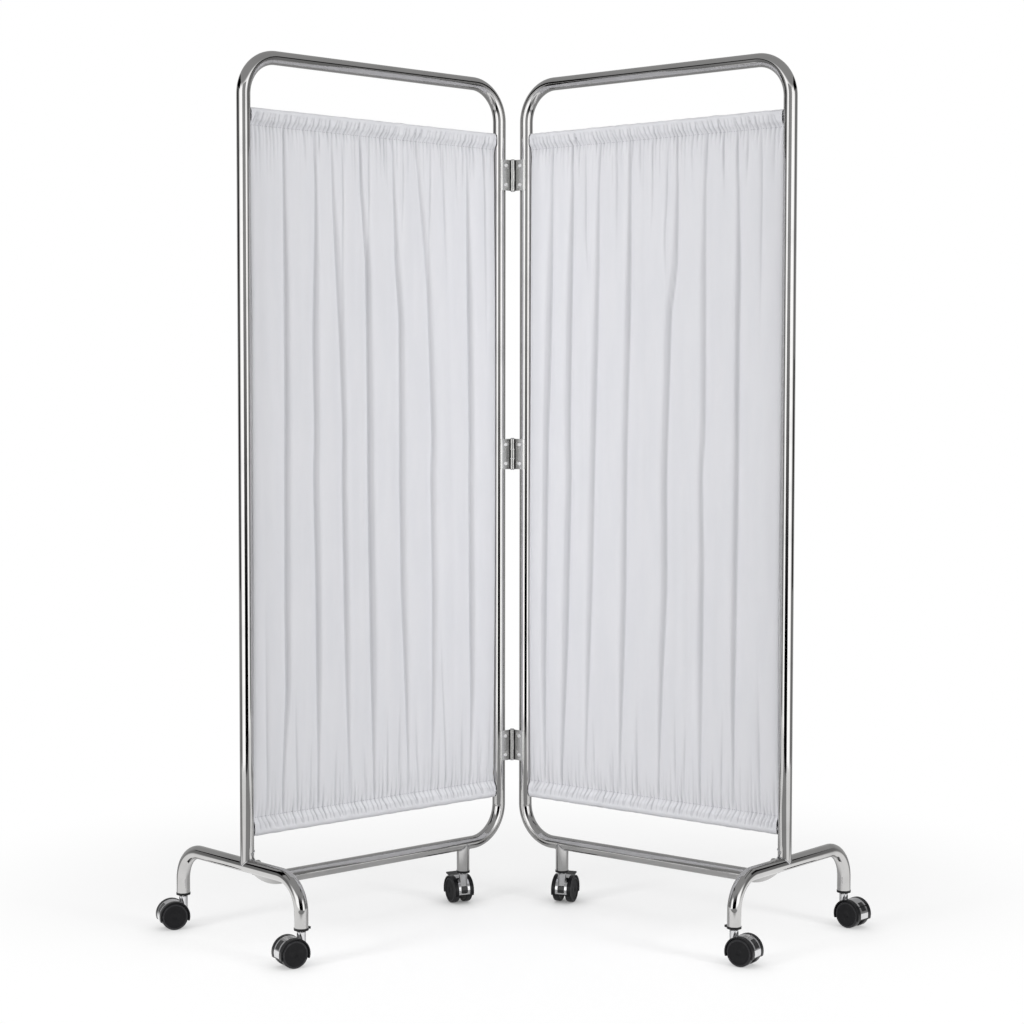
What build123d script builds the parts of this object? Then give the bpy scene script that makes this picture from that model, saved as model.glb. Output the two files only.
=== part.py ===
import os
from math import cos, radians, sin

from build123d import *

# A two-panel ward screen on castors. The hinge axis is the Z axis and the floor is Z = 0.
# The panels stand open towards -Y, and each panel is laid out in its own plane, with X
# running outwards from the upright beside the hinges.

# Frame tubes
tube_diameter = 25.0
tube_wall = 1.5
weld_gap = 0.05
panel_width = 610.0
bottom_rail_height = 119.0
frame_height = 1484.0
corner_radius = 70.0
rail_end_inset = 4.0
rail_end_turn = 56.0
rail_plug_turn = 3.0

# Feet and inner posts
foot_rail_gap = 6.5
foot_front_reach = 162.0
foot_back_reach = 207.0
foot_bend_radius = 58.0
post_offset = 94.0

# How far each panel stands turned from the X axis as photographed
panel_turn = 41.0

# Hinges
lower_hinge_rise = 186.0
upper_hinge_drop = 172.0
middle_hinge_share = 0.5142
hinge_height = 60.0
hinge_clear_gap = 10.9
leaf_thickness = 2.0
leaf_wrap_turn = 36.0
leaf_corner_radius = 4.0
knuckle_diameter = 10.5
knuckle_gap = 0.9
middle_knuckle_height = 17.4
hinge_pin_diameter = 5.5
pin_head_diameter = 8.5
pin_head_height = 1.6
pin_head_taper = 30.0
running_fit = 0.05
screw_diameter = 4.0
screw_length = 9.0
screw_head_diameter = 7.0
screw_head_height = 1.8
screw_head_taper = 20.0
screw_spacing = 37.5
screw_inset = 4.5
screw_slot_width = 1.0
screw_slot_depth = 0.8

# Curtain rods and their end cups
rod_diameter = 8.0
rod_cup_diameter = 12.0
rod_cup_length = 3.0
rod_cup_seat_gap = 0.02
top_rod_drop = 100.0
bottom_rod_rise = 95.0

# Curtains
curtain_end_gap = 0.5
curtain_top_over_rod = 8.0
curtain_bottom_under_rod = 11.5
header_depth = 31.0
hem_depth = 33.5
header_half_thickness = 6.2
header_gather_depth = 1.5
header_gathers = 44
cloth_half_thickness = 1.6
fold_depth = 5.0
valley_depth = 2.5
valley_width_share = 0.22
rod_sleeve_gap = 0.4
fold_width_shares = {
    "left": (0.61, 0.95, 0.78, 0.75, 0.63, 0.65, 0.67, 0.74),
    "right": (0.44, 0.5, 0.6, 0.77, 0.94, 0.86, 0.73, 0.94),
}
gather_width_shares = (1.0, 0.72, 1.25, 0.9, 0.6, 1.35, 0.8)

# Castors
wheel_diameter = 50.0
wheel_width = 12.8
wheel_spacing = 13.6
wheel_edge_round = 2.0
wheel_disc_diameter = 41.0
wheel_disc_depth = 1.0
wheel_hub_cover = 2.0
axle_diameter = 6.0
axle_end_gap = 0.3
castor_trail = 20.0
hood_clearance = 1.0
hood_shell = 1.0
cover_thickness = 1.0
fender_lip = 0.5
fender_width = 8.0
fender_side_gap = 0.4
fender_skirt_drop = 8.6
cover_skirt_drop = 6.0
castor_web_width = 10.0
axle_boss_diameter = 16.0
stem_diameter = 8.0
stem_foot_gap = 1.0
stem_grip_length = 22.0
column_diameter = 12.0
column_depth = 20.0
neck_diameter = 16.0
neck_rise = 6.5
collar_gap = 3.0
collar_thickness = 4.0
collar_diameter = 26.5
collar_tab_length = 3.5
collar_tab_width = 6.0
socket_fit = 0.02
window_width = 14.0
window_height = 15.0
window_depth = 0.5
lead_window_rise = -4.0
trail_window_rise = 8.0

# Brake levers of the two castors beside the hinges
brake_pivot_radius = 19.0
brake_pivot_angle = 48.0
brake_hub_diameter = 7.0
brake_pin_diameter = 3.0
brake_arm_width = 6.4
brake_arm_thickness = 5.0
brake_slot_gap = 0.4
brake_slot_width = 14.0
pedal_width = 22.0
pedal_length = 17.0
pedal_thickness = 3.2
pedal_clearance = 1.4
pedal_rise = 4.0

# Where each castor's wheels trail, as an angle from +X
castor_headings = {
    "left_front": 209.0,
    "left_back": 200.0,
    "left_inner": 115.0,
    "right_front": -36.0,
    "right_back": -45.0,
    "right_inner": 68.0,
}

# Levels and distances that follow from the sizes above
tube_radius = tube_diameter / 2
tube_bore_radius = tube_radius - tube_wall
top_rail_height = bottom_rail_height + frame_height
foot_bar_height = bottom_rail_height + tube_diameter + foot_rail_gap
lower_hinge_height = bottom_rail_height + lower_hinge_rise
upper_hinge_height = top_rail_height - upper_hinge_drop
hinge_span = upper_hinge_height - lower_hinge_height
middle_hinge_height = lower_hinge_height + middle_hinge_share * hinge_span
hinge_heights = (lower_hinge_height, middle_hinge_height, upper_hinge_height)
upright_offset = tube_radius + hinge_clear_gap
hinge_axis_front = tube_radius + leaf_thickness / 2
wheel_radius = wheel_diameter / 2
hood_inner_radius = wheel_radius + hood_clearance
hood_radius = hood_inner_radius + hood_shell
cover_radius = hood_radius + cover_thickness
fender_radius = cover_radius + fender_lip
castor_half_width = wheel_spacing / 2 + wheel_width + fender_side_gap
cover_half_width = castor_half_width - fender_width
neck_top = wheel_radius + cover_radius + neck_rise
collar_bottom = neck_top + collar_gap
tube_end_height = collar_bottom + collar_thickness
stem_bottom = neck_top - column_depth + stem_foot_gap
top_rod_height = top_rail_height - top_rod_drop
bottom_rod_height = bottom_rail_height + bottom_rod_rise
curtain_top = top_rod_height + curtain_top_over_rod
curtain_bottom = bottom_rod_height - curtain_bottom_under_rod
overrun = tube_diameter

os.makedirs("parts", exist_ok=True)
up = Vector(0, 0, 1)


def save(piece, name):
    """Names a finished piece and writes it."""
    piece.label = name
    export_step(piece, f"parts/{name}.step")


class Panel:
    """The directions of one panel: outwards along it and square to its front."""

    def __init__(self, side, sign):
        turn = radians(panel_turn)
        self.side = side
        self.outward = Vector(sign * cos(turn), -sin(turn), 0)
        self.front = Vector(-sign * sin(turn), -cos(turn), 0)

    def point(self, out, front, height):
        """A point given by its distance outwards, to the front and up from the floor."""
        from_axis = self.outward * (upright_offset + out) + self.front * (front - hinge_axis_front)
        return from_axis + up * height

    def face(self):
        """The plane of the panel, with X outwards and Y up."""
        return Plane(self.point(0, 0, 0), x_dir=self.outward, z_dir=self.outward.cross(up))

    def foot_face(self):
        """The plane square to the panel at its outer upright, with X forwards and Y up."""
        return Plane(self.point(panel_width, 0, 0), x_dir=self.front, z_dir=self.front.cross(up))

    def floor(self, out=0, front=0, height=0):
        """A level plane with X outwards, for plan outlines and turned pieces."""
        return Plane(self.point(out, front, height), x_dir=self.outward, z_dir=up)

    def along(self, out, front, height):
        """A plane square to the rods, looking outwards along the panel."""
        return Plane(self.point(out, front, height), x_dir=self.front, z_dir=self.outward)

    def facing(self, out, front, height):
        """A plane that looks out of the front of the panel."""
        return Plane(self.point(out, front, height), x_dir=self.outward, z_dir=self.front)


left = Panel("left", -1)
right = Panel("right", 1)
panels = (left, right)


def screw_places():
    """Heights of the hinge screws on one upright."""
    return [h + s * screw_spacing / 2 for h in hinge_heights for s in (-1, 1)]


# Frame tube: one bent tube from the top of the foot bar, up, across, down and along the
# bottom, ending in a part bend against the underside of the foot bar, where it is closed
def frame_path(panel, end_turn):
    rail_end = panel_width - corner_radius - rail_end_inset
    with BuildLine(panel.face()) as path:
        FilletPolyline(
            (panel_width, foot_bar_height),
            (panel_width, top_rail_height),
            (0, top_rail_height),
            (0, bottom_rail_height),
            (rail_end, bottom_rail_height),
            radius=corner_radius,
        )
        JernArc((rail_end, bottom_rail_height), (1, 0), corner_radius, end_turn)
    return path.wires()[0]


def frame_tube(panel):
    with BuildPart() as tube:
        for radius, end_turn, mode in (
            (tube_radius, rail_end_turn, Mode.ADD),
            (tube_bore_radius, rail_end_turn - rail_plug_turn, Mode.SUBTRACT),
        ):
            with BuildSketch(panel.floor(panel_width, 0, foot_bar_height)):
                Circle(radius)
            sweep(path=frame_path(panel, end_turn), mode=mode)
        with BuildSketch(Plane(panel.point(panel_width, 0, foot_bar_height), z_dir=panel.front)):
            Circle(tube_radius + weld_gap)
        extrude(amount=tube_diameter, both=True, mode=Mode.SUBTRACT)
        for height in screw_places():
            with BuildSketch(panel.facing(-screw_inset, 0, height)):
                Circle(screw_diameter / 2)
            extrude(amount=overrun, mode=Mode.SUBTRACT)
    save(tube.part, f"{panel.side}_frame_tube")


# Foot tube: an upside-down U square to the panel, with a castor under each end
def foot_tube(panel):
    with BuildPart() as foot:
        with BuildLine(panel.foot_face()) as path:
            FilletPolyline(
                (-foot_back_reach, tube_end_height),
                (-foot_back_reach, foot_bar_height),
                (foot_front_reach, foot_bar_height),
                (foot_front_reach, tube_end_height),
                radius=foot_bend_radius,
            )
        with BuildSketch(Plane(panel.point(panel_width, -foot_back_reach, tube_end_height))):
            Circle(tube_radius)
            Circle(tube_bore_radius, mode=Mode.SUBTRACT)
        sweep(path=path.wires()[0])
    save(foot.part, f"{panel.side}_foot_tube")


# Inner post: a short tube under the bottom rail, shaped to it, for the third castor
def inner_post(panel):
    with BuildPart() as post:
        with BuildSketch(panel.floor(post_offset, 0, tube_end_height)):
            Circle(tube_radius)
            Circle(tube_bore_radius, mode=Mode.SUBTRACT)
        extrude(amount=bottom_rail_height - tube_end_height)
        with BuildSketch(panel.along(post_offset - tube_diameter, 0, bottom_rail_height)):
            Circle(tube_radius + weld_gap)
        extrude(amount=2 * tube_diameter, mode=Mode.SUBTRACT)
    save(post.part, f"{panel.side}_inner_post")


# Curtain rods and the small cups that hold their ends on the uprights
def curtain_rod(panel, height, name):
    seat = tube_radius + weld_gap
    with BuildPart() as rod:
        with BuildSketch(panel.along(seat, 0, height)):
            Circle(rod_diameter / 2)
        extrude(amount=panel_width - 2 * seat)
    save(rod.part, f"{panel.side}_{name}_rod")


def rod_cups(panel):
    cup_reach = tube_radius + rod_cup_length
    with BuildPart() as cups:
        for height in (bottom_rod_height, top_rod_height):
            for out, away in ((0, 1), (panel_width, -1)):
                with BuildSketch(panel.along(out, 0, height)):
                    Circle(rod_cup_diameter / 2)
                    Circle(rod_diameter / 2, mode=Mode.SUBTRACT)
                extrude(amount=away * cup_reach)
                with BuildSketch(panel.floor(out, 0, height - rod_cup_diameter)):
                    Circle(tube_radius + rod_cup_seat_gap)
                extrude(amount=2 * rod_cup_diameter, mode=Mode.SUBTRACT)
    save(cups.part, f"{panel.side}_rod_end_cups")


# Curtain: folded cloth between a gathered header and hem, each a sleeve round its rod
def wave_outline(panel, height, half, depths, widths, first, last):
    """A level outline with one arc for each width, swung sideways by its depth."""
    total = sum(widths)
    edges = [first]
    for width in widths:
        edges.append(edges[-1] + (last - first) * width / total)
    with BuildSketch(panel.floor(0, 0, height)) as outline:
        with BuildLine():
            for side in (-half, half):
                for i, (start, end) in enumerate(zip(edges[:-1], edges[1:])):
                    middle = ((start + end) / 2, side + depths[i])
                    ThreePointArc((start, side), middle, (end, side))
            Line((first, -half), (first, half))
            Line((last, -half), (last, half))
        make_face()
    return outline.sketch


def curtain(panel):
    first = tube_radius + rod_cup_length + curtain_end_gap
    last = panel_width - first
    forward = -1 if panel is right else 1
    fold_widths, fold_depths = [], []
    for width in fold_width_shares[panel.side]:
        fold_widths += [width * (1 - valley_width_share), width * valley_width_share]
        fold_depths += [forward * fold_depth, -forward * valley_depth]
    gathers = range(header_gathers)
    gather_widths = [gather_width_shares[i % len(gather_width_shares)] for i in gathers]
    gather_depths = [header_gather_depth * (1 if i % 2 else -1) for i in gathers]
    bands = (
        (curtain_bottom, hem_depth, header_half_thickness, gather_depths, gather_widths),
        (
            curtain_bottom + hem_depth,
            curtain_top - header_depth - curtain_bottom - hem_depth,
            cloth_half_thickness,
            fold_depths,
            fold_widths,
        ),
        (curtain_top - header_depth, header_depth, header_half_thickness, gather_depths, gather_widths),
    )
    with BuildPart() as cloth:
        for base, tall, half, depths, widths in bands:
            add(wave_outline(panel, base, half, depths, widths, first, last))
            extrude(amount=tall)
        for height in (bottom_rod_height, top_rod_height):
            with BuildSketch(panel.along(0, 0, height)):
                Circle(rod_diameter / 2 + rod_sleeve_gap)
            extrude(amount=panel_width, mode=Mode.SUBTRACT)
    save(cloth.part, f"{panel.side}_curtain")


# Hinges: a leaf on each upright, wrapped round the front of the tube, and a pin
def own_knuckles(panel, base):
    """Bottom height and length of the knuckles that belong to this panel's leaf."""
    outer = (hinge_height - middle_knuckle_height) / 2 - knuckle_gap
    if panel is left:
        return [(base, outer), (base + hinge_height - outer, outer)]
    return [(base + (hinge_height - middle_knuckle_height) / 2, middle_knuckle_height)]


def hinge_leaf(panel, name, centre):
    base = centre - hinge_height / 2
    plate_start = -hinge_clear_gap - tube_radius + knuckle_diameter / 2 + knuckle_gap
    outer_radius = tube_radius + leaf_thickness
    wrap = radians(leaf_wrap_turn)
    side = -1 if panel is right else 1
    with BuildPart() as leaf:
        with BuildSketch(panel.floor(0, 0, base)):
            with BuildLine():
                Polyline(
                    (0, side * tube_radius),
                    (plate_start, side * tube_radius),
                    (plate_start, side * outer_radius),
                    (0, side * outer_radius),
                )
                ThreePointArc(
                    (0, side * outer_radius),
                    (outer_radius * sin(wrap / 2), side * outer_radius * cos(wrap / 2)),
                    (outer_radius * sin(wrap), side * outer_radius * cos(wrap)),
                )
                Line(
                    (outer_radius * sin(wrap), side * outer_radius * cos(wrap)),
                    (tube_radius * sin(wrap), side * tube_radius * cos(wrap)),
                )
                ThreePointArc(
                    (tube_radius * sin(wrap), side * tube_radius * cos(wrap)),
                    (tube_radius * sin(wrap / 2), side * tube_radius * cos(wrap / 2)),
                    (0, side * tube_radius),
                )
            make_face()
        extrude(amount=hinge_height)
        for bottom, tall in own_knuckles(panel, base):
            with BuildSketch(Plane.XY.offset(bottom)):
                Circle(knuckle_diameter / 2)
            extrude(amount=tall)
            with BuildSketch(panel.floor(0, 0, bottom)):
                with BuildLine():
                    Polyline(
                        (-upright_offset, side * tube_radius),
                        (plate_start + leaf_thickness / 2, side * tube_radius),
                        (plate_start + leaf_thickness / 2, side * outer_radius),
                        (-upright_offset, side * outer_radius),
                        close=True,
                    )
                make_face()
            extrude(amount=tall)
        fit = 0 if panel is left else running_fit
        with BuildSketch(Plane.XY.offset(base)):
            Circle(hinge_pin_diameter / 2 + fit)
        extrude(amount=hinge_height, mode=Mode.SUBTRACT)
        for offset in (-screw_spacing / 2, screw_spacing / 2):
            with BuildSketch(panel.facing(-screw_inset, 0, centre + offset)):
                Circle(screw_diameter / 2)
            extrude(amount=overrun, mode=Mode.SUBTRACT)
        wing_reach = (tube_radius + leaf_thickness / 2) * sin(wrap)
        wing_front = (tube_radius + leaf_thickness / 2) * cos(wrap)
        wing_end = leaf.faces().sort_by_distance(panel.point(wing_reach, wing_front, centre))[0]
        corners = [edge for edge in wing_end.edges() if edge.length < 2 * leaf_thickness]
        fillet(corners, leaf_corner_radius)
    save(leaf.part, f"{name}_hinge_{panel.side}_leaf")


# Hinge pins: one in each hinge, fixed in the left leaf, with a low head at both ends
def hinge_pins():
    with BuildPart() as pins:
        for centre in hinge_heights:
            base = centre - hinge_height / 2
            with BuildSketch(Plane.XY.offset(base)):
                Circle(hinge_pin_diameter / 2)
            extrude(amount=hinge_height)
            for level, away in ((base, -1), (base + hinge_height, 1)):
                with BuildSketch(Plane.XY.offset(level)):
                    Circle(pin_head_diameter / 2)
                extrude(amount=away * pin_head_height, taper=pin_head_taper)
    save(pins.part, "hinge_pins")


# Hinge screws: two through each leaf into the upright
def hinge_screws(panel):
    head_seat = tube_radius + leaf_thickness
    with BuildPart() as screws:
        for height in screw_places():
            with BuildSketch(panel.facing(-screw_inset, head_seat, height)):
                Circle(screw_diameter / 2)
            extrude(amount=-screw_length)
            with BuildSketch(panel.facing(-screw_inset, head_seat, height)):
                Circle(screw_head_diameter / 2)
            extrude(amount=screw_head_height, taper=screw_head_taper)
            with BuildSketch(panel.facing(-screw_inset, head_seat + screw_head_height, height)):
                Rectangle(screw_head_diameter, screw_slot_width)
            extrude(amount=-screw_slot_depth, mode=Mode.SUBTRACT)
    save(screws.part, f"{panel.side}_hinge_screws")


# Castor places on each panel, as distances outwards and to the front
def castor_places(panel):
    return {
        f"{panel.side}_front": (panel_width, foot_front_reach),
        f"{panel.side}_back": (panel_width, -foot_back_reach),
        f"{panel.side}_inner": (post_offset, 0),
    }


# Castor sockets: a black plug in each tube end, with a collar below it
def castor_sockets(panel):
    with BuildPart() as sockets:
        for name, (out, front) in castor_places(panel).items():
            with BuildSketch(panel.floor(out, front, collar_bottom)):
                Circle(collar_diameter / 2)
                if name.endswith("front"):
                    tab_reach = collar_diameter / 2 + collar_tab_length / 2
                    with Locations((-tab_reach, 0)):
                        Rectangle(2 * collar_tab_length, collar_tab_width)
            extrude(amount=collar_thickness)
            with BuildSketch(panel.floor(out, front, tube_end_height)):
                Circle(tube_bore_radius - socket_fit)
            extrude(amount=stem_grip_length)
            with BuildSketch(panel.floor(out, front, collar_bottom)):
                Circle(stem_diameter / 2 + socket_fit)
            extrude(amount=collar_thickness + stem_grip_length, mode=Mode.SUBTRACT)
    save(sockets.part, f"{panel.side}_castor_sockets")


# Castor stems: steel pins held in the sockets, on which the castors swivel
def castor_stems(panel):
    with BuildPart() as stems:
        for out, front in castor_places(panel).values():
            with BuildSketch(panel.floor(out, front, stem_bottom)):
                Circle(stem_diameter / 2)
            extrude(amount=tube_end_height + stem_grip_length - stem_bottom)
    save(stems.part, f"{panel.side}_castor_stems")


class Castor:
    """One twin-wheel castor, laid out from its stem with X along its trail."""

    def __init__(self, name, stem_point, braked):
        turn = radians(castor_headings[name])
        self.name = name
        self.braked = braked
        self.stem = stem_point
        self.trail = Vector(cos(turn), sin(turn), 0)
        self.axle = up.cross(self.trail)

    def side(self, across=0):
        """The upright plane along the trail, with X trailing and Y up from the floor."""
        return Plane(self.stem + self.axle * across, x_dir=self.trail, z_dir=-self.axle)

    def level(self, height):
        """A level plane round the stem."""
        return Plane(self.stem + up * height, x_dir=self.trail, z_dir=up)


wheel_centre = (castor_trail, wheel_radius)
brake_pivot = (
    castor_trail + brake_pivot_radius * cos(radians(brake_pivot_angle)),
    wheel_radius + brake_pivot_radius * sin(radians(brake_pivot_angle)),
)


def ring_above(inner, outer, drop):
    """A ring round the axle, cut off level at a drop below it."""
    with Locations(wheel_centre):
        Circle(outer)
        Circle(inner, mode=Mode.SUBTRACT)
    with Locations((castor_trail, wheel_radius - drop - outer)):
        Rectangle(2 * outer, 2 * outer, mode=Mode.SUBTRACT)


def brake_slot(castor, half_width):
    """Opening for the brake lever through the top of the hood."""
    with BuildSketch(castor.side()) as slot:
        with Locations(Location(wheel_centre, brake_pivot_angle)):
            with Locations(((fender_radius + brake_pivot_radius) / 2, 0)):
                reach = fender_radius - brake_pivot_radius + brake_hub_diameter + 2 * brake_slot_gap
                Rectangle(reach, brake_slot_width)
    extrude(slot.sketch, amount=half_width, both=True, mode=Mode.SUBTRACT)


def cover_window(castor, away, rise):
    """A shallow recess in the cover, on the trailing or the leading side of the wheels."""
    reach = cover_radius + neck_diameter
    with BuildSketch(castor.side()) as recess:
        with Locations(wheel_centre):
            Circle(reach)
            Circle(cover_radius - window_depth, mode=Mode.SUBTRACT)
        level = wheel_radius + rise + window_height / 2
        with Locations((castor_trail + away * reach / 2, level)):
            Rectangle(reach, window_height, mode=Mode.INTERSECT)
    extrude(recess.sketch, amount=window_width / 2, both=True, mode=Mode.SUBTRACT)


# Castor body: web round the axle, stem column and the black fenders over both wheels
def castor_body(castor):
    with BuildPart() as body:
        with BuildSketch(castor.side()):
            with Locations(wheel_centre):
                Circle(hood_radius)
            with Locations((castor_trail, wheel_radius - fender_skirt_drop - hood_radius)):
                Rectangle(2 * hood_radius, 2 * hood_radius, mode=Mode.SUBTRACT)
            with Locations(wheel_centre):
                Circle(axle_boss_diameter / 2)
        extrude(amount=castor_web_width / 2, both=True)
        with BuildSketch(castor.side()):
            ring_above(hood_inner_radius, hood_radius, fender_skirt_drop)
        extrude(amount=castor_half_width, both=True)
        for side in (-1, 1):
            with BuildSketch(castor.side(side * cover_half_width)):
                ring_above(hood_inner_radius, fender_radius, fender_skirt_drop)
            extrude(amount=-side * fender_width)
        with BuildSketch(castor.level(neck_top - column_depth)):
            Circle(column_diameter / 2)
        extrude(amount=column_depth)
        with BuildSketch(castor.level(neck_top - column_depth + stem_foot_gap)):
            Circle(stem_diameter / 2 + running_fit)
        extrude(amount=column_depth, mode=Mode.SUBTRACT)
        with BuildSketch(castor.side()):
            with Locations(wheel_centre):
                Circle(axle_diameter / 2)
        extrude(amount=castor_web_width, both=True, mode=Mode.SUBTRACT)
        if castor.braked:
            brake_slot(castor, brake_arm_width / 2 + brake_slot_gap)
            with BuildSketch(castor.side()):
                with Locations(brake_pivot):
                    Circle(brake_pin_diameter / 2 + running_fit)
            extrude(amount=castor_web_width, both=True, mode=Mode.SUBTRACT)
    save(body.part, f"{castor.name}_castor_body")


# Castor cover: the chromed band over the hood, with the neck round the column
def castor_cover(castor):
    with BuildPart() as cover:
        with BuildSketch(castor.side()):
            ring_above(hood_radius, cover_radius, cover_skirt_drop)
        extrude(amount=cover_half_width, both=True)
        with BuildSketch(castor.level(wheel_radius)):
            Circle(neck_diameter / 2)
        extrude(amount=neck_top - wheel_radius)
        with BuildSketch(castor.side()):
            with Locations(wheel_centre):
                Circle(hood_radius)
        extrude(amount=castor_half_width, both=True, mode=Mode.SUBTRACT)
        with BuildSketch(castor.level(wheel_radius)):
            Circle(column_diameter / 2)
        extrude(amount=neck_top, mode=Mode.SUBTRACT)
        cover_window(castor, -1, lead_window_rise)
        if castor.braked:
            brake_slot(castor, brake_arm_width / 2 + brake_slot_gap)
        else:
            cover_window(castor, 1, trail_window_rise)
    save(cover.part, f"{castor.name}_castor_cover")


def castor_axle(castor):
    half = wheel_spacing / 2 + wheel_width - wheel_disc_depth - wheel_hub_cover - axle_end_gap
    with BuildPart() as axle:
        with BuildSketch(castor.side()):
            with Locations(wheel_centre):
                Circle(axle_diameter / 2)
        extrude(amount=half, both=True)
    save(axle.part, f"{castor.name}_castor_axle")


# Castor wheel: a plain black wheel with a dished outer face and a blind bore
def castor_wheel(castor, side, name):
    inner = wheel_spacing / 2
    with BuildPart() as wheel:
        with BuildSketch(castor.side(side * inner)):
            with Locations(wheel_centre):
                Circle(wheel_radius)
        extrude(amount=-side * wheel_width)
        fillet(wheel.edges().filter_by(GeomType.CIRCLE), wheel_edge_round)
        with BuildSketch(castor.side(side * (inner + wheel_width))):
            with Locations(wheel_centre):
                Circle(wheel_disc_diameter / 2)
        extrude(amount=side * wheel_disc_depth, mode=Mode.SUBTRACT)
        with BuildSketch(castor.side(side * inner)):
            with Locations(wheel_centre):
                Circle(axle_diameter / 2 + running_fit)
        depth = wheel_width - wheel_disc_depth - wheel_hub_cover
        extrude(amount=-side * depth, mode=Mode.SUBTRACT)
    save(wheel.part, f"{castor.name}_castor_{name}_wheel")


# Brake lever: a pedal over the trailing side, on an arm that turns in the web
def brake_lever(castor):
    seat_radius = cover_radius + pedal_clearance
    arm_end = seat_radius + pedal_thickness
    turn = radians(brake_pivot_angle)
    heel_out = castor_trail + arm_end * cos(turn) - brake_arm_thickness / 2
    heel_up = wheel_radius + arm_end * sin(turn)
    tip_out = heel_out + pedal_length
    with BuildPart() as lever:
        with BuildSketch(castor.side()):
            with Locations(brake_pivot):
                Circle(brake_hub_diameter / 2)
            with Locations(Location(wheel_centre, brake_pivot_angle)):
                with Locations(((brake_pivot_radius + arm_end) / 2, 0)):
                    Rectangle(arm_end - brake_pivot_radius, brake_arm_thickness)
        extrude(amount=brake_arm_width / 2, both=True)
        with BuildSketch(castor.side()):
            with Locations(brake_pivot):
                Circle(brake_pin_diameter / 2)
        extrude(amount=castor_web_width / 2, both=True)
        with BuildSketch(castor.side()):
            with BuildLine():
                Polyline(
                    (heel_out - brake_arm_thickness, heel_up),
                    (heel_out, heel_up - pedal_thickness / 2),
                    (tip_out, heel_up + pedal_rise - pedal_thickness),
                    (tip_out, heel_up + pedal_rise),
                    (heel_out, heel_up + pedal_thickness / 2),
                    (heel_out - brake_arm_thickness, heel_up + pedal_thickness / 2),
                    close=True,
                )
            make_face()
        extrude(amount=pedal_width / 2, both=True)
    save(lever.part, f"{castor.name}_castor_brake_lever")


for panel in panels:
    frame_tube(panel)
    foot_tube(panel)
    inner_post(panel)
    curtain_rod(panel, top_rod_height, "top")
    curtain_rod(panel, bottom_rod_height, "bottom")
    rod_cups(panel)
    curtain(panel)
    hinge_screws(panel)
    castor_sockets(panel)
    castor_stems(panel)
    for name, centre in zip(("lower", "middle", "upper"), hinge_heights):
        hinge_leaf(panel, name, centre)
    for name, (out, front) in castor_places(panel).items():
        castor = Castor(name, panel.point(out, front, 0), name.endswith("inner"))
        castor_body(castor)
        castor_cover(castor)
        castor_axle(castor)
        castor_wheel(castor, -1, "right")
        castor_wheel(castor, 1, "left")
        if castor.braked:
            brake_lever(castor)
hinge_pins()
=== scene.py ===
import math
import random

import bmesh
import bpy
import numpy as np
from mathutils import Matrix, Vector


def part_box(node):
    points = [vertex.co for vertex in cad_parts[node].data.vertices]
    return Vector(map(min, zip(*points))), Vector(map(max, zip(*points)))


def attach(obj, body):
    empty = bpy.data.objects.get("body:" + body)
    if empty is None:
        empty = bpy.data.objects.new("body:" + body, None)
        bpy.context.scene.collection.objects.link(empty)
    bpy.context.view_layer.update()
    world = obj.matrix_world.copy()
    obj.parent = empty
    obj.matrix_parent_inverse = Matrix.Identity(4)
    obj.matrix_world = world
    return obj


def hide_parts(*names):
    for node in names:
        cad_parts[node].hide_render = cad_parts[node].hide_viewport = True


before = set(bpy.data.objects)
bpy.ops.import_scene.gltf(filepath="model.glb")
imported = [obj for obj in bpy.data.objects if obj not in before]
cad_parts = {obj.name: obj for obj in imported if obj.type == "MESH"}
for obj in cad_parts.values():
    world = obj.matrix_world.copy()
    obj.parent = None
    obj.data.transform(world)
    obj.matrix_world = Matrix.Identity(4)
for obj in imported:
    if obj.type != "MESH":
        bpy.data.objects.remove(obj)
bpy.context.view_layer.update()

# The camera: a long lens about 4.3 m in front of the screen and a metre up, looking slightly down.
# The picture is square.
camera_place = Vector((-0.09175, -4.31645, 0.99925))
camera_yaw = math.radians(1.209)
camera_pitch = math.radians(3.056)
camera_roll = math.radians(0.075)
focal_pixels = 2180.73
picture_pixels = 1024
sensor_width = 36.0
nearest_seen, farthest_seen = 0.05, 60.0

ahead = Vector(
    (
        math.sin(camera_yaw) * math.cos(camera_pitch),
        math.cos(camera_yaw) * math.cos(camera_pitch),
        -math.sin(camera_pitch),
    )
)
level_right = Vector((math.cos(camera_yaw), -math.sin(camera_yaw), 0))
level_up = level_right.cross(ahead)
right_hand = math.cos(camera_roll) * level_right + math.sin(camera_roll) * level_up
upward = -math.sin(camera_roll) * level_right + math.cos(camera_roll) * level_up

lens = bpy.data.cameras.new("camera")
lens.sensor_fit = "HORIZONTAL"
lens.sensor_width = sensor_width
lens.lens = focal_pixels * sensor_width / picture_pixels
lens.clip_start, lens.clip_end = nearest_seen, farthest_seen
camera = bpy.data.objects.new("camera", lens)
camera.matrix_world = Matrix(
    [[*row, place] for row, place in zip(zip(right_hand, upward, -ahead), camera_place)]
    + [[0, 0, 0, 1]]
)
bpy.context.scene.collection.objects.link(camera)
bpy.context.scene.camera = camera
bpy.context.scene.view_settings.view_transform = "Standard"


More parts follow.
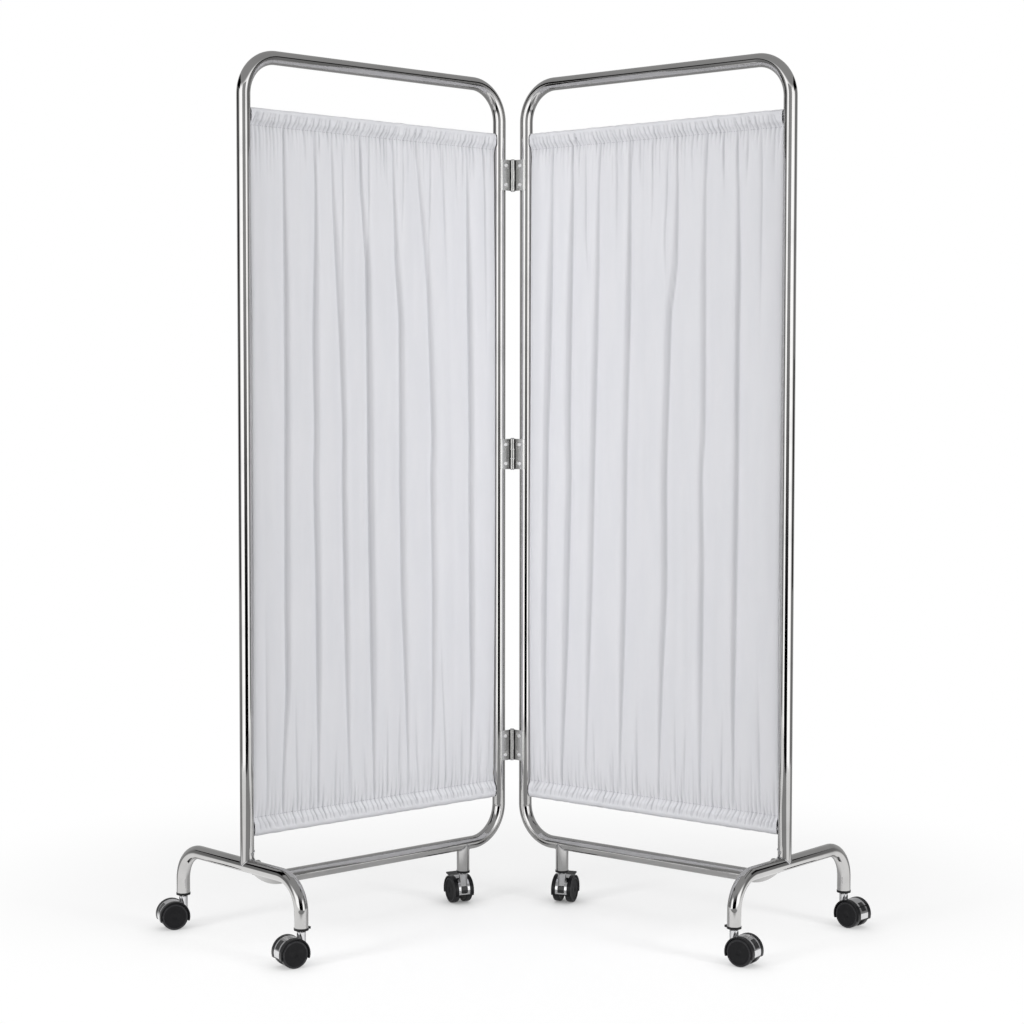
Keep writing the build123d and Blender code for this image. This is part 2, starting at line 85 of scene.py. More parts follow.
# The studio: a pale floor in a white room, lit by four softboxes. Chrome mirrors what is round it, so
# its reflections alone see a room that is bright on the camera's side and dim elsewhere, a floor with
# a lit ring, and five dark flags: a broad one in front, paler towards its top, and two on each side.
class Wire:
    """One output of a shader node. Sums written on wires add the nodes that work them out."""

    def __init__(self, tree, socket=None):
        self.tree, self.socket = tree, socket

    def node(self, kind, settings=(), sockets=(), out=0):
        """Adds a node: its settings first, then the values or wires of its sockets."""
        made = self.tree.nodes.new(kind)
        for name, value in dict(settings).items():
            setattr(made, name, value)
        for key, value in dict(sockets).items():
            if isinstance(value, Wire):
                self.tree.links.new(value.socket, made.inputs[key])
            else:
                made.inputs[key].default_value = value
        return Wire(self.tree, made.outputs[out] if made.outputs else None)

    def maths(self, operation, *values):
        return self.node("ShaderNodeMath", {"operation": operation}, dict(enumerate(values)))

    def __add__(self, other):
        return self.maths("ADD", self, other)

    def __sub__(self, other):
        return self.maths("SUBTRACT", self, other)

    def __rsub__(self, other):
        return self.maths("SUBTRACT", other, self)

    def __mul__(self, other):
        return self.maths("MULTIPLY", self, other)

    __radd__, __rmul__ = __add__, __mul__

    def smooth(self, start, end, low=0.0, high=1.0):
        """Goes smoothly from low to high as this value goes from start to end."""
        return self.node(
            "ShaderNodeMapRange",
            {"interpolation_type": "SMOOTHSTEP"},
            {"Value": self, "From Min": start, "From Max": end, "To Min": low, "To Max": high},
        )

    def blend(self, first, second):
        """The first colour where this value is 0 and the second where it is 1."""
        return self.node("ShaderNodeMix", {"data_type": "RGBA"}, {0: self, 6: first, 7: second}, out=2)

    def grey(self):
        """The grey colour of this level."""
        return self.node("ShaderNodeCombineColor", (), {0: self, 1: self, 2: self})

    def parts(self):
        """The three numbers of this vector, each as a wire."""
        split = self.node("ShaderNodeSeparateXYZ", (), {0: self})
        return [Wire(self.tree, part) for part in split.socket.node.outputs]


def colour(red, green, blue):
    return (red, green, blue, 1.0)


def cleared(owner):
    """Empties the nodes of a world or a studio material, and gives a wire to build them on."""
    owner.use_nodes = True
    owner.node_tree.nodes.clear()
    return Wire(owner.node_tree)


def ray_kinds(wire):
    """Whether a ray is one that the viewer sees by, straight or through glass, and whether it is mirrored."""
    path = wire.node("ShaderNodeLightPath").socket.node
    kinds = ("Camera", "Transmission", "Glossy")
    is_camera, is_through, is_glossy = (Wire(wire.tree, path.outputs[f"Is {kind} Ray"]) for kind in kinds)
    return is_camera.maths("MAXIMUM", is_camera, is_through), is_glossy


def new_piece(name, mesh):
    """Puts a mesh into the scene as an object of that name."""
    piece = bpy.data.objects.new(name, mesh)
    bpy.context.scene.collection.objects.link(piece)
    return piece


white_level = 1.0
soft_light_level = 0.38
strip_level = 1.95
side_level = 0.24
behind_level = 0.5
ceiling_level = 0.43
under_level = 0.38
strip_edge, behind_edge, ceiling_edge = (-0.62, -0.2), (0.25, 0.6), (0.3, 0.5)

world = bpy.data.worlds.new("studio")
bpy.context.scene.world = world
room = cleared(world)
seen, is_glossy = ray_kinds(room)
_, away, height = room.node("ShaderNodeTexCoord").parts()
round_room = away.smooth(*strip_edge, strip_level, side_level)
round_room = round_room + away.smooth(*behind_edge, 0, behind_level - side_level)
above = height.smooth(*ceiling_edge)
below = height.smooth(*(-edge for edge in ceiling_edge))
mirrored = round_room * (1 - above) * (1 - below) + ceiling_level * above + under_level * below
unseen = is_glossy * mirrored + (1 - is_glossy) * soft_light_level
level = white_level * seen + (1 - seen) * unseen
background = room.node("ShaderNodeBackground", (), {"Color": level.grey()})
room.node("ShaderNodeOutputWorld", (), {"Surface": background})

# Each softbox has its place, the point that it faces, its width and height, and its power.
softboxes = (
    ("left", (-3.15, -2.93, 1.4), (0.2, -0.2, 0.8), 1.0, 2.4, 107.0),
    ("right", (3.15, -2.93, 1.4), (-0.2, -0.2, 0.8), 1.0, 2.4, 102.0),
    ("top", (0.0, -0.4, 4.2), (0.0, -0.1, 0.0), 2.6, 2.6, 24.0),
    ("back", (0.0, 4.2, 2.2), (0.0, 0.0, 0.8), 2.4, 1.6, 50.0),
)
for name, place, target, width, tall, power in softboxes:
    lamp = bpy.data.lights.new(name, "AREA")
    lamp.shape, lamp.size, lamp.size_y, lamp.energy = "RECTANGLE", width, tall, power
    softbox = bpy.data.objects.new(name, lamp)
    softbox.location = place
    softbox.rotation_euler = (Vector(target) - Vector(place)).to_track_quat("-Z", "Y").to_euler()
    softbox.visible_glossy = False
    bpy.context.scene.collection.objects.link(softbox)

paler_heights, paler_level = (0.42, 1.5), 0.44
front_flag_edge = (-1.4, -1.6)
flag_cloth = bpy.data.materials.new("studio_flag")
black = cleared(flag_cloth)
_, nearness, height = black.node("ShaderNodeTexCoord", out=3).parts()
paler_top = height.smooth(*paler_heights, 0.0, paler_level) * nearness.smooth(*front_flag_edge)
lit = black.node("ShaderNodeEmission", (), {"Strength": paler_top})
black.node("ShaderNodeOutputMaterial", (), {"Surface": lit})
# Each flag is an upright rectangle between two opposite corners.
flags = (
    ("front_flag", (-0.88, -2.15, 0.02), (0.9, -2.15, 2.3)),
    ("left_flag", (-1.7, -1.3, 1.95), (-1.7, 0.7, 2.4)),
    ("right_flag", (1.7, -1.3, 1.95), (1.7, 0.7, 2.4)),
    ("tall_left_flag", (-1.7, -0.5, 0.55), (-1.7, 0.15, 1.95)),
    ("low_right_flag", (1.7, -0.5, 0.55), (1.7, 0.15, 1.1)),
)
for name, (x0, y0, z0), (x1, y1, z1) in flags:
    flag_mesh = bpy.data.meshes.new(name)
    corners = ((x0, y0, z0), (x1, y1, z0), (x1, y1, z1), (x0, y0, z1))
    flag_mesh.from_pydata(corners, [], [(0, 1, 2, 3)])
    flag_mesh.materials.append(flag_cloth)
    flag = new_piece(name, flag_mesh)
    flag.visible_camera = flag.visible_diffuse = flag.visible_shadow = False
    flag.visible_transmission = False

floor_radius, floor_drop, floor_sides = 2.6, 0.0005, 96
floor_albedo, dark_albedo_share = 0.45, 0.15
# The floor's glow under the screen and in front of it, and the reach and depth of the painted shadow close
# round the wheels.
floor_glow, front_glow, front_glow_edge = 0.53, 0.572, (-0.15, -0.55)
contact_reach, contact_depth = 0.05, 0.42
ring_start, ring_start_blur, ring_front_edge = 0.55, 0.12, (-0.5, -0.62)
ring_end, ring_end_blur, ring_far_edge = 1.35, 0.15, (-0.5, -0.8)
ring_back_edge, ring_level, middle_level = (-0.02, -0.22), 0.8, 0.18
gap_front, gap_front_blur = -0.95, 0.05
gap_half_width, gap_side_blur = 0.8, 0.1
plain_start, plain_end = 0.35, 1.35
floor_mesh = bpy.data.meshes.new("floor")
rim = bmesh.new()
bmesh.ops.create_circle(rim, cap_ends=True, segments=floor_sides, radius=floor_radius)
rim.to_mesh(floor_mesh)
rim.free()
floor = new_piece("floor", floor_mesh)
floor.location.z = -floor_drop
paper = bpy.data.materials.new("studio_paper")
sheet = cleared(paper)
seen, is_glossy = ray_kinds(sheet)
spot = sheet.node("ShaderNodeTexCoord", out=3)
across, away, _ = spot.parts()
sideways = across.maths("ABSOLUTE", across)
radius = sheet.node("ShaderNodeVectorMath", {"operation": "LENGTH"}, {0: spot}, out=1)
outside = radius.maths(
    "MAXIMUM",
    radius.smooth(ring_start - ring_start_blur, ring_start + ring_start_blur),
    away.smooth(*ring_front_edge),
)
not_far = radius.maths(
    "MAXIMUM", radius.smooth(ring_end + ring_end_blur, ring_end - ring_end_blur), away.smooth(*ring_far_edge)
)
# Painted reflection, seen only by mirrored rays: the floor glows in a lit ring in front of the screen and
# dimly inside it, and in front a dark gap breaks the ring, where the floor is also painted darker.
dark_gap = away.smooth(gap_front + gap_front_blur, gap_front - gap_front_blur)
dark_gap = dark_gap * sideways.smooth(gap_half_width + gap_side_blur, gap_half_width - gap_side_blur)
ring_glow = outside * not_far * (1 - dark_gap) * ring_level * away.smooth(*ring_back_edge)
mirrored = is_glossy * (ring_glow + middle_level * (1 - outside))
paleness = floor_albedo * (1 - (1 - dark_albedo_share) * is_glossy * dark_gap)
matt = sheet.node("ShaderNodeBsdfDiffuse", (), {"Color": paleness.grey()})
# Painted shadow: the floor's glow is dimmed where parts stand close above it, round the wheels, and it is
# painted lower under the screen than in front of it.
clear = sheet.node("ShaderNodeAmbientOcclusion", {"samples": 16}, {"Distance": contact_reach}, out=1)
glow = away.smooth(*front_glow_edge, floor_glow, front_glow) - contact_depth * (1 - clear)
lit = sheet.node("ShaderNodeEmission", (), {"Strength": glow * seen + mirrored})
shaded = sheet.node("ShaderNodeAddShader", (), {0: matt, 1: lit})
plain_level = white_level * seen + under_level * (1 - seen) + mirrored
plain = sheet.node("ShaderNodeEmission", (), {"Strength": plain_level})
share = radius.smooth(plain_start, plain_end)
faded = sheet.node("ShaderNodeMixShader", (), {0: share, 1: shaded, 2: plain})
sheet.node("ShaderNodeOutputMaterial", (), {"Surface": faded})
floor_mesh.materials.append(paper)

# The frame tubes: 25 mm steel tube, bent and chromed. Each panel has one long tube, bent round its
# corners and welded to its foot at both ends, a foot bent to an upside-down U, and a short post
# under its lower rail for the inner castor.
mm = 0.001
tube_radius = 12.5 * mm
panel_width = 610 * mm
bottom_rail_height = 119 * mm
top_rail_height = 1603 * mm
corner_radius = 70 * mm
rail_end = panel_width - 74 * mm
rail_end_turn = math.radians(56)
foot_bar_height = 150.5 * mm
foot_bend_radius = 58 * mm
foot_front_reach = 162 * mm
foot_back_reach = 207 * mm
post_offset = 94 * mm
tube_end_height = 66.5 * mm


class Panel:
    """One panel of the screen: outwards along it from the hinges, and towards its front."""

    turn = math.radians(41)
    upright_offset = 23.4 * mm
    axis_front = 13.5 * mm

    def __init__(self, side, sign):
        self.side, self.body = side, f"{side}_panel"
        self.outward = Vector((sign * math.cos(self.turn), -math.sin(self.turn), 0))
        self.front = Vector((-sign * math.sin(self.turn), -math.cos(self.turn), 0))

    def place(self, out, front, height):
        flat = self.outward * (self.upright_offset + out) + self.front * (front - self.axis_front)
        return flat + Vector((0, 0, height))


panels = (Panel("left", -1), Panel("right", 1))


def new_finish(name):
    """A material, its shader and a wire to build on."""
    finish = bpy.data.materials.new(name)
    finish.use_nodes = True
    return finish, finish.node_tree.nodes["Principled BSDF"], Wire(finish.node_tree)


def feed(shader, wires):
    for label, wire in wires.items():
        wire.tree.links.new(wire.socket, shader.inputs[label])


def noise(wire, place, scale, detail):
    return wire.node("ShaderNodeTexNoise", (), {"Vector": place, "Scale": scale, "Detail": detail})


def chrome(name, tint, roughness, smear, grain_size):
    """A plated finish: mirror bright, with faint smears and the ripple of polished steel."""
    finish, shader, wire = new_finish(name)
    shader.inputs["Metallic"].default_value = 1
    place = wire.node("ShaderNodeTexCoord", out=3)
    smears, fine = noise(wire, place, 1 / grain_size, 4), noise(wire, place, 9 / grain_size, 3)
    dull = smears.smooth(0.45, 0.75)
    rough = roughness + smear * dull + 0.3 * smear * fine
    shade = dull.blend(colour(*tint), colour(*(0.9 * part for part in tint)))
    ripple = {"Strength": 0.06, "Distance": 0.4 * mm, "Height": smears}
    bumpy = wire.node("ShaderNodeBump", (), ripple)
    feed(shader, {"Base Color": shade, "Roughness": rough, "Normal": bumpy})
    return finish


tube_chrome = chrome("tube_chrome", (0.51, 0.505, 0.5), 0.045, 0.05, 60 * mm)


def new_tree(name, *lengths):
    """An empty geometry tree whose inputs are a shape, named lengths and a finish."""
    tree = bpy.data.node_groups.new(name, "GeometryNodeTree")
    kinds = [("Geometry", "Geometry"), *((length, "Float") for length in lengths), ("Finish", "Material")]
    for label, kind in kinds:
        tree.interface.new_socket(label, in_out="INPUT", socket_type=f"NodeSocket{kind}")
    tree.interface.new_socket("Geometry", in_out="OUTPUT", socket_type="NodeSocketGeometry")
    return tree, tree.nodes.new("NodeGroupInput").outputs


def add_nodes(tree, *kinds):
    return [tree.nodes.new(kind) for kind in kinds]


def link(tree, *pairs):
    for start, end in pairs:
        tree.links.new(start, end)


def complete(tree, given, shape):
    """Ends a tree: the shape is made real and gets its finish."""
    kinds = "GeometryNodeRealizeInstances", "GeometryNodeSetMaterial", "NodeGroupOutput"
    realize, paint, made = add_nodes(tree, *kinds)
    link(
        tree,
        (shape.outputs[0], realize.inputs[0]),
        (realize.outputs[0], paint.inputs[0]),
        (given["Finish"], paint.inputs[2]),
        (paint.outputs[0], made.inputs[0]),
    )


sharp_angle = math.radians(40)


def grown(name, source, tree, values):
    """Runs a geometry tree on an object and keeps the result as a plain mesh."""
    modifier = source.modifiers.new("grow", "NODES")
    modifier.node_group = tree
    for item in tree.interface.items_tree:
        if item.in_out == "INPUT" and item.name in values:
            modifier[item.identifier] = values[item.name]
    bpy.context.view_layer.update()
    graph = bpy.context.evaluated_depsgraph_get()
    mesh = bpy.data.meshes.new_from_object(source.evaluated_get(graph), depsgraph=graph)
    mesh.name = name
    bpy.data.objects.remove(source)
    mesh.shade_smooth()
    mesh.set_sharp_from_angle(angle=sharp_angle)
    return new_piece(name, mesh)


def line_object(points, closed=False):
    """A curve of straight runs through points."""
    curve = bpy.data.curves.new("line", "CURVE")
    curve.dimensions = "3D"
    spline = curve.splines.new("POLY")
    spline.points.add(len(points) - 1)
    for knot, point in zip(spline.points, points):
        knot.co = (*point, 1)
    spline.use_cyclic_u = closed
    return new_piece("line", curve)


bend_steps, tube_sides = 28, 64
bent_tube, given = new_tree("bent_tube", "Tube radius", "Bend radius")
bend, ring, sweep, smooth = add_nodes(
    bent_tube,
    "GeometryNodeFilletCurve",
    "GeometryNodeCurvePrimitiveCircle",
    "GeometryNodeCurveToMesh",
    "GeometryNodeSetShadeSmooth",
)
bend.mode = "POLY"
bend.inputs[1].default_value, bend.inputs[3].default_value = bend_steps, True
ring.inputs[0].default_value = tube_sides
sweep.inputs[3].default_value = True
link(
    bent_tube,
    (given["Geometry"], bend.inputs[0]),
    (given["Bend radius"], bend.inputs[2]),
    (given["Tube radius"], ring.inputs[4]),
    (bend.outputs[0], sweep.inputs[0]),
    (ring.outputs[0], sweep.inputs[1]),
    (sweep.outputs[0], smooth.inputs[0]),
)
complete(bent_tube, given, smooth)


def tube(name, panel, path, bend_radius):
    piece = grown(
        name,
        line_object(path),
        bent_tube,
        {"Tube radius": tube_radius, "Bend radius": bend_radius, "Finish": tube_chrome},
    )
    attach(piece, panel.body)
    return piece


rail_corner = rail_end + corner_radius * math.tan(rail_end_turn / 2)
rail_tip_out = rail_end + corner_radius * math.sin(rail_end_turn)
rail_tip_height = bottom_rail_height + corner_radius * (1 - math.cos(rail_end_turn))

for panel in panels:
    frame_path = (
        (panel_width, foot_bar_height),
        (panel_width, top_rail_height),
        (0, top_rail_height),
        (0, bottom_rail_height),
        (rail_corner, bottom_rail_height),
        (rail_tip_out, rail_tip_height),
    )
    piece = tube(
        f"{panel.side}_bent_frame",
        panel,
        [panel.place(out, 0, height) for out, height in frame_path],
        corner_radius,
    )
    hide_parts(f"{panel.side}_frame_tube")
    foot_path = (
        (foot_front_reach, tube_end_height),
        (foot_front_reach, foot_bar_height),
        (-foot_back_reach, foot_bar_height),
        (-foot_back_reach, tube_end_height),
    )
    piece = tube(
        f"{panel.side}_foot",
        panel,
        [panel.place(panel_width, front, height) for front, height in foot_path],
        foot_bend_radius,
    )
    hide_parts(f"{panel.side}_foot_tube")
    post_path = (tube_end_height, bottom_rail_height)
    piece = tube(
        f"{panel.side}_short_post",
        panel,
        [panel.place(post_offset, 0, height) for height in post_path],
        corner_radius,
    )
    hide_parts(f"{panel.side}_inner_post")

# Weld beads: a thin rippled seam of weld, plated with the tubes, where an upright stands on its foot,
# where the turned-up end of the lower rail meets them, and round the top of the short post.
bead_radius = 1.2 * mm
bead_ripple = 0.25 * mm
ripple_pitch = 2.4 * mm
bead_step, bead_sides, seam_steps = 0.6 * mm, 10, 96
weld_chrome = chrome("weld_chrome", (0.48, 0.48, 0.49), 0.14, 0.1, 4 * mm)

weld_seam, given = new_tree("weld_seam", "Bead radius", "Ripple depth", "Ripple pitch")
evened, along, turns, wave, swell, bulge, ring, sweep = add_nodes(
    weld_seam,
    "GeometryNodeResampleCurve",
    "GeometryNodeSplineParameter",
    "ShaderNodeMath",
    "ShaderNodeMath",
    "ShaderNodeMath",
    "GeometryNodeSetCurveRadius",
    "GeometryNodeCurvePrimitiveCircle",
    "GeometryNodeCurveToMesh",
)
evened.mode = "LENGTH"
evened.inputs[3].default_value = bead_step
turns.operation, wave.operation, swell.operation = "DIVIDE", "PINGPONG", "MULTIPLY_ADD"
wave.inputs[1].default_value = 0.5
ring.inputs[0].default_value, ring.inputs[4].default_value = bead_sides, 1
bulge.inputs[2].default_value = 1
link(
    weld_seam,
    (given["Geometry"], evened.inputs[0]),
    (along.outputs["Length"], turns.inputs[0]),
    (given["Ripple pitch"], turns.inputs[1]),
    (turns.outputs[0], wave.inputs[0]),
    (wave.outputs[0], swell.inputs[0]),
    (given["Ripple depth"], swell.inputs[1]),
    (given["Bead radius"], swell.inputs[2]),
    (evened.outputs[0], bulge.inputs[0]),
    (swell.outputs[0], sweep.inputs[2]),
    (bulge.outputs[0], sweep.inputs[0]),
    (ring.outputs[0], sweep.inputs[1]),
)
complete(weld_seam, given, sweep)


def weld(name, panel, points):
    piece = grown(
        name,
        line_object(points, closed=True),
        weld_seam,
        {
            "Bead radius": bead_radius,
            "Ripple depth": bead_ripple,
            "Ripple pitch": ripple_pitch,
            "Finish": weld_chrome,
        },
    )
    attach(piece, panel.body)


seam_turns = [math.tau * step / seam_steps for step in range(seam_steps)]


def upright_seam(panel):
    """Where the upright's skin meets the top of the foot bar."""
    for turn in seam_turns:
        out, front = tube_radius * math.cos(turn), tube_radius * math.sin(turn)
        yield panel.place(panel_width + out, front, foot_bar_height + abs(front))


def rail_seam(panel):
    """Where the turned-up end of the lower rail meets the foot bar or the upright."""
    slope_out, slope_up = math.cos(rail_end_turn), math.sin(rail_end_turn)
    for turn in seam_turns:
        lift, front = tube_radius * math.cos(turn), tube_radius * math.sin(turn)
        out = rail_tip_out - lift * slope_up - panel_width
        height = rail_tip_height + lift * slope_out - foot_bar_height
        upright_skin = -math.sqrt(max(tube_radius**2 - front**2, 0))
        reach = (upright_skin - out) / slope_out
        middle = -(out * slope_out + height * slope_up)
        inside = tube_radius**2 - (out**2 + height**2 - middle**2)
        if inside > 0:
            reach = min(reach, middle - math.sqrt(inside))
        yield panel.place(
            panel_width + out + reach * slope_out, front, foot_bar_height + height + reach * slope_up
        )


def post_seam(panel):
    """Where the short post's skin meets the underside of the lower rail."""
    for turn in seam_turns:
        out, front = tube_radius * math.cos(turn), tube_radius * math.sin(turn)
        yield panel.place(post_offset + out, front, bottom_rail_height - abs(out))


for panel in panels:
    weld(f"{panel.side}_upright_weld", panel, list(upright_seam(panel)))
    weld(f"{panel.side}_rail_weld", panel, list(rail_seam(panel)))
    weld(f"{panel.side}_post_weld", panel, list(post_seam(panel)))

# The curtain rods: 8 mm plated steel, one through the header and one through the hem of each curtain.
# Their ends sit in small cups fixed to the uprights.
rod_chrome = chrome("rod_chrome", (0.5, 0.5, 0.51), 0.09, 0.06, 40 * mm)


def dress(finish, *names):
    """Gives CAD nodes whose shape stays their finish."""
    for name in names:
        materials = bpy.data.objects[name].data.materials
        materials.clear()
        materials.append(finish)


for panel in panels:
    dress(rod_chrome, *(f"{panel.side}_{part}" for part in ("top_rod", "bottom_rod", "rod_end_cups")))

# The curtains: thin grey-white cloth, gathered on the two rods of each panel and stretched between
# them. The header and the hem are sleeves, each closed by a row of stitches. Its lengths are in
# millimetres up to where the mesh is made.
curtain_start, curtain_end = 13.4, 596.6
top_rod, bottom_rod = 1503.0, 214.0
curtain_top, curtain_bottom = 1511.0, 202.5
header_seam, hem_seam = 1480.0, 236.0
seam_tail = 5.0
sleeve_half_depth = 6.8
seam_half_depth = 1.0
body_front = 2.6
hem_hang = 3.0
back_swell, header_swell, hem_swell, body_swell = (0.12, 0.75), (0.0, 0.5), (0.0, 0.55), (0, 24)
sleeve_side_edge, side_turn, side_turn_fade = (1.0, 8.0), 3.0, 4.0
ridge_height = 3.6
fold_steepness = 0.66
cloth_thickness = 0.45
cloth_columns, body_rows, sleeve_rows, turn_rows = 456, 44, (10, 13), 10
even_row_share, back_stitch_row = 0.45, 2
ridge_power, closed_ridge_share, edge_margin = 3.2, 0.35, 14.0
fold_reach, fold_half_width, fold_opening, fold_power = 330.0, 3.3, 5.0, 1.8
fading_half_width, fading_opening, crease_power = 2.8, 2.6, 1.4
fading_depth, long_fading_depth, long_fading_reach = 0.95, 0.3, 260
fading_span, fading_limits = (0.15, 1.3), (-0.4, 1.35)
groove_strength, groove_change, groove_pace = 0.9, 0.2, 2.1
gather_depth, gather_fade, gather_spread = 3.0, (25.5, 19.0), 80.0
header_gather_pitch, hem_gather_pitch, gather_slant = 8.4, 9.2, -0.3
slant_shares, depth_shares, pitch_shares = (0.3, 1.4), (0.6, 1.25), (0.72, 1.28)
gather_widths, gather_reaches, gather_ends = (1.9, 2.8), (20.0, 130.0), (3.0, 2.0)
rod_band, depth_over_rod, depth_elsewhere = 7.0, 2.2, 4.5
ripple_count, ripple_height = 26, 0.11
ripple_waves, ripple_tilts, ripple_rises = (0.05, 0.22), (-0.004, 0.004), (0.0, 0.006)
# How deep the cloth must lie to take full painted shade in its creases, how dark that painted shade is, how
# far round the depth is measured, and how much stronger it is in the sleeves.
hollow_depth, painted_hollow_shade, hollow_reach, sleeve_hollow_gain = 2.0, 0.22, 10, 1.7
cloth_seeds, cloth_phases = {"left": 11, "right": 29}, {"left": 1.3, "right": 0.4}
sway, sway_length, sway_fade, sway_phases = 0.8, 210.0, 9.0, {"left": 0.5, "right": 2.2}

# Folds that run from header to hem, and folds that start at one seam and fade. Each is a few points
# along the fold, first the distance from the inner upright's axis and then the height.
main_folds = {
    "left": (
        ((523, 1456), (523, 1365), (520, 1234), (519, 1102), (519, 926),
         (520, 858), (521, 648), (520, 460), (531, 291)),
        ((456, 1462), (452, 1391), (452, 1281), (456, 1103), (453, 925),
         (456, 857), (451, 644), (450, 405), (450, 267)),
        ((416, 1460), (412, 1350), (404, 1239), (395, 1104), (388, 924),
         (390, 856), (386, 640), (382, 447), (377, 258)),
        ((349, 1475), (346, 1376), (332, 1241), (330, 1106), (328, 924),
         (328, 854), (324, 636), (321, 442), (319, 270)),
        ((271, 1472), (268, 1381), (262, 1244), (253, 1153), (251, 923),
         (252, 852), (248, 632), (240, 459), (234, 255)),
        ((214, 1467), (205, 1385), (193, 1293), (184, 1201), (178, 1062),
         (172, 922), (175, 851), (171, 627), (172, 428), (176, 258)),
        ((86, 1472), (84, 1346), (81, 1205), (78, 1063), (76, 921),
         (77, 848), (75, 622), (73, 419), (77, 262)),
    ),
    "right": (
        ((67, 1474), (68, 1394), (66, 1253), (62, 1111), (55, 921), (52, 700), (50, 460), (52, 260)),
        ((117, 1471), (118, 1391), (115, 1251), (112, 1110), (110, 921),
         (113, 849), (110, 724), (105, 523), (99, 370), (93, 248)),
        ((183, 1480), (181, 1388), (180, 1249), (177, 1109), (172, 922),
         (170, 851), (167, 677), (160, 477), (153, 255)),
        ((257, 1474), (256, 1383), (255, 1246), (253, 1108), (248, 923),
         (247, 852), (246, 632), (241, 434), (236, 254)),
        ((364, 1467), (366, 1377), (363, 1242), (349, 1152), (345, 1015),
         (342, 924), (340, 855), (342, 637), (334, 466), (329, 265)),
        ((430, 1471), (428, 1373), (427, 1239), (428, 1105), (428, 925),
         (422, 857), (426, 690), (425, 498), (424, 262)),
        ((497, 1475), (501, 1369), (503, 1237), (501, 1104), (501, 926),
         (501, 858), (499, 646), (497, 456), (499, 251)),
    ),
}
fading_folds = {
    "left": (
        ((585, 1477), (585, 1426)),
        ((554, 1454), (555, 1393)),
        ((508, 1475), (508, 1427)),
        ((475, 1473), (475, 1416)),
        ((442, 1472), (445, 1432)),
        ((392, 1471), (390, 1373), (391, 1239), (391, 1104)),
        ((329, 1467), (329, 1332), (331, 1196)),
        ((291, 1470), (291, 1411)),
        ((247, 1474), (247, 1382), (253, 1290)),
        ((179, 1474), (181, 1363), (183, 1294), (181, 1201)),
        ((148, 1481), (146, 1365), (141, 1249)),
        ((114, 1484), (114, 1381)),
        ((67, 1478), (67, 1427)),
        ((42, 1471), (40, 1348), (38, 1111)),
        ((566, 250), (566, 281), (570, 558)),
        ((499, 250), (499, 273), (504, 458)),
        ((470, 236), (467, 359)),
        ((413, 243), (410, 339)),
        ((340, 243), (343, 322)),
        ((286, 242), (287, 389)),
        ((259, 253), (256, 411)),
        ((211, 257), (218, 383)),
        ((141, 239), (143, 325), (156, 552)),
        ((101, 255), (100, 371)),
        ((53, 264), (46, 315)),
        ((29, 246), (26, 389)),
    ),
    "right": (
        ((148, 1482), (152, 1389), (152, 1296), (162, 1203)),
        ((223, 1477), (226, 1385), (226, 1311)),
        ((280, 1473), (280, 1409)),
        ((307, 1471), (309, 1380), (306, 1308)),
        ((343, 1468), (342, 1378), (337, 1288), (343, 1197)),
        ((397, 1473), (399, 1402)),
        ((467, 1468), (471, 1371)),
        ((523, 1464), (518, 1399)),
        ((552, 1466), (553, 1409), (552, 1147)),
        ((60, 244), (60, 316)),
        ((176, 252), (172, 367)),
        ((278, 264), (277, 388)),
        ((368, 260), (367, 406)),
        ((387, 262), (391, 379)),
        ((472, 253), (474, 406)),
        ((557, 239), (553, 461)),
        ((217, 257), (213, 292)),
        ((253, 256), (247, 310)),
    ),
}


def smoothed(value, start, end):
    share = np.clip((value - start) / (end - start), 0, 1)
    return share * share * (3 - 2 * share)


def fold_line(line, heights):
    """The place of a fold across the cloth at each height, from the points along it."""
    across, up = zip(*sorted(line, key=lambda point: point[1]))
    return np.interp(heights, up, across)


def body_relief(side, across, heights):
    """How far the hanging cloth stands forward: broad flat ridges between narrow valleys."""
    near_seam = np.minimum(header_seam - heights, heights - hem_seam)
    opened = smoothed(near_seam, 0, fold_reach)
    lines = [fold_line(line, heights) for line in main_folds[side]]
    bounds = [np.full_like(heights, curtain_start - edge_margin), *sorted(lines, key=lambda l: l[0])]
    bounds.append(np.full_like(heights, curtain_end + edge_margin))
    relief = np.zeros_like(heights)
    for left, right in zip(bounds[:-1], bounds[1:]):
        share = (across - left) / np.maximum(right - left, 1.0)
        inside = (share >= 0) & (share < 1)
        crown = 1 - np.abs(2 * share - 1) ** ridge_power
        crown = crown * (closed_ridge_share + (1 - closed_ridge_share) * opened)
        relief = np.where(inside, ridge_height * crown, relief)
    for index, line in enumerate(lines):
        half_width = fold_half_width + fold_opening * opened
        groove = np.exp(-((np.abs(across - line) / half_width) ** fold_power))
        strength = groove_strength + groove_change * math.sin(groove_pace * index + cloth_phases[side])
        relief = relief - fold_steepness * half_width * strength * groove
    for line in fading_folds[side]:
        root, tip = line[0][1], line[-1][1]
        travelled = np.clip((heights - root) / (tip - root), *fading_limits)
        fade = 1 - smoothed(travelled, *fading_span)
        half_width = fading_half_width + fading_opening * smoothed(travelled, 0, 1)
        groove = np.exp(-((np.abs(across - fold_line(line, heights)) / half_width) ** crease_power))
        length_share = min(np.abs(tip - root), long_fading_reach) / long_fading_reach
        strength = fading_depth + long_fading_depth * length_share
        relief = relief - fold_steepness * half_width * strength * fade * groove
    return relief


def gather_marks(seed, pitch):
    """Short creases of a gathered seam: their places, slants, depths, widths and reaches."""
    chance = random.Random(seed)
    marks, place = [], curtain_start + gather_ends[0]
    while place < curtain_end - gather_ends[1]:
        slant = chance.uniform(*slant_shares) * gather_slant
        depth = chance.uniform(*depth_shares) * gather_depth
        width, reach = chance.uniform(*gather_widths), chance.uniform(*gather_reaches)
        marks.append((place, slant, depth, width, reach))
        place += chance.uniform(*pitch_shares) * pitch
    return marks


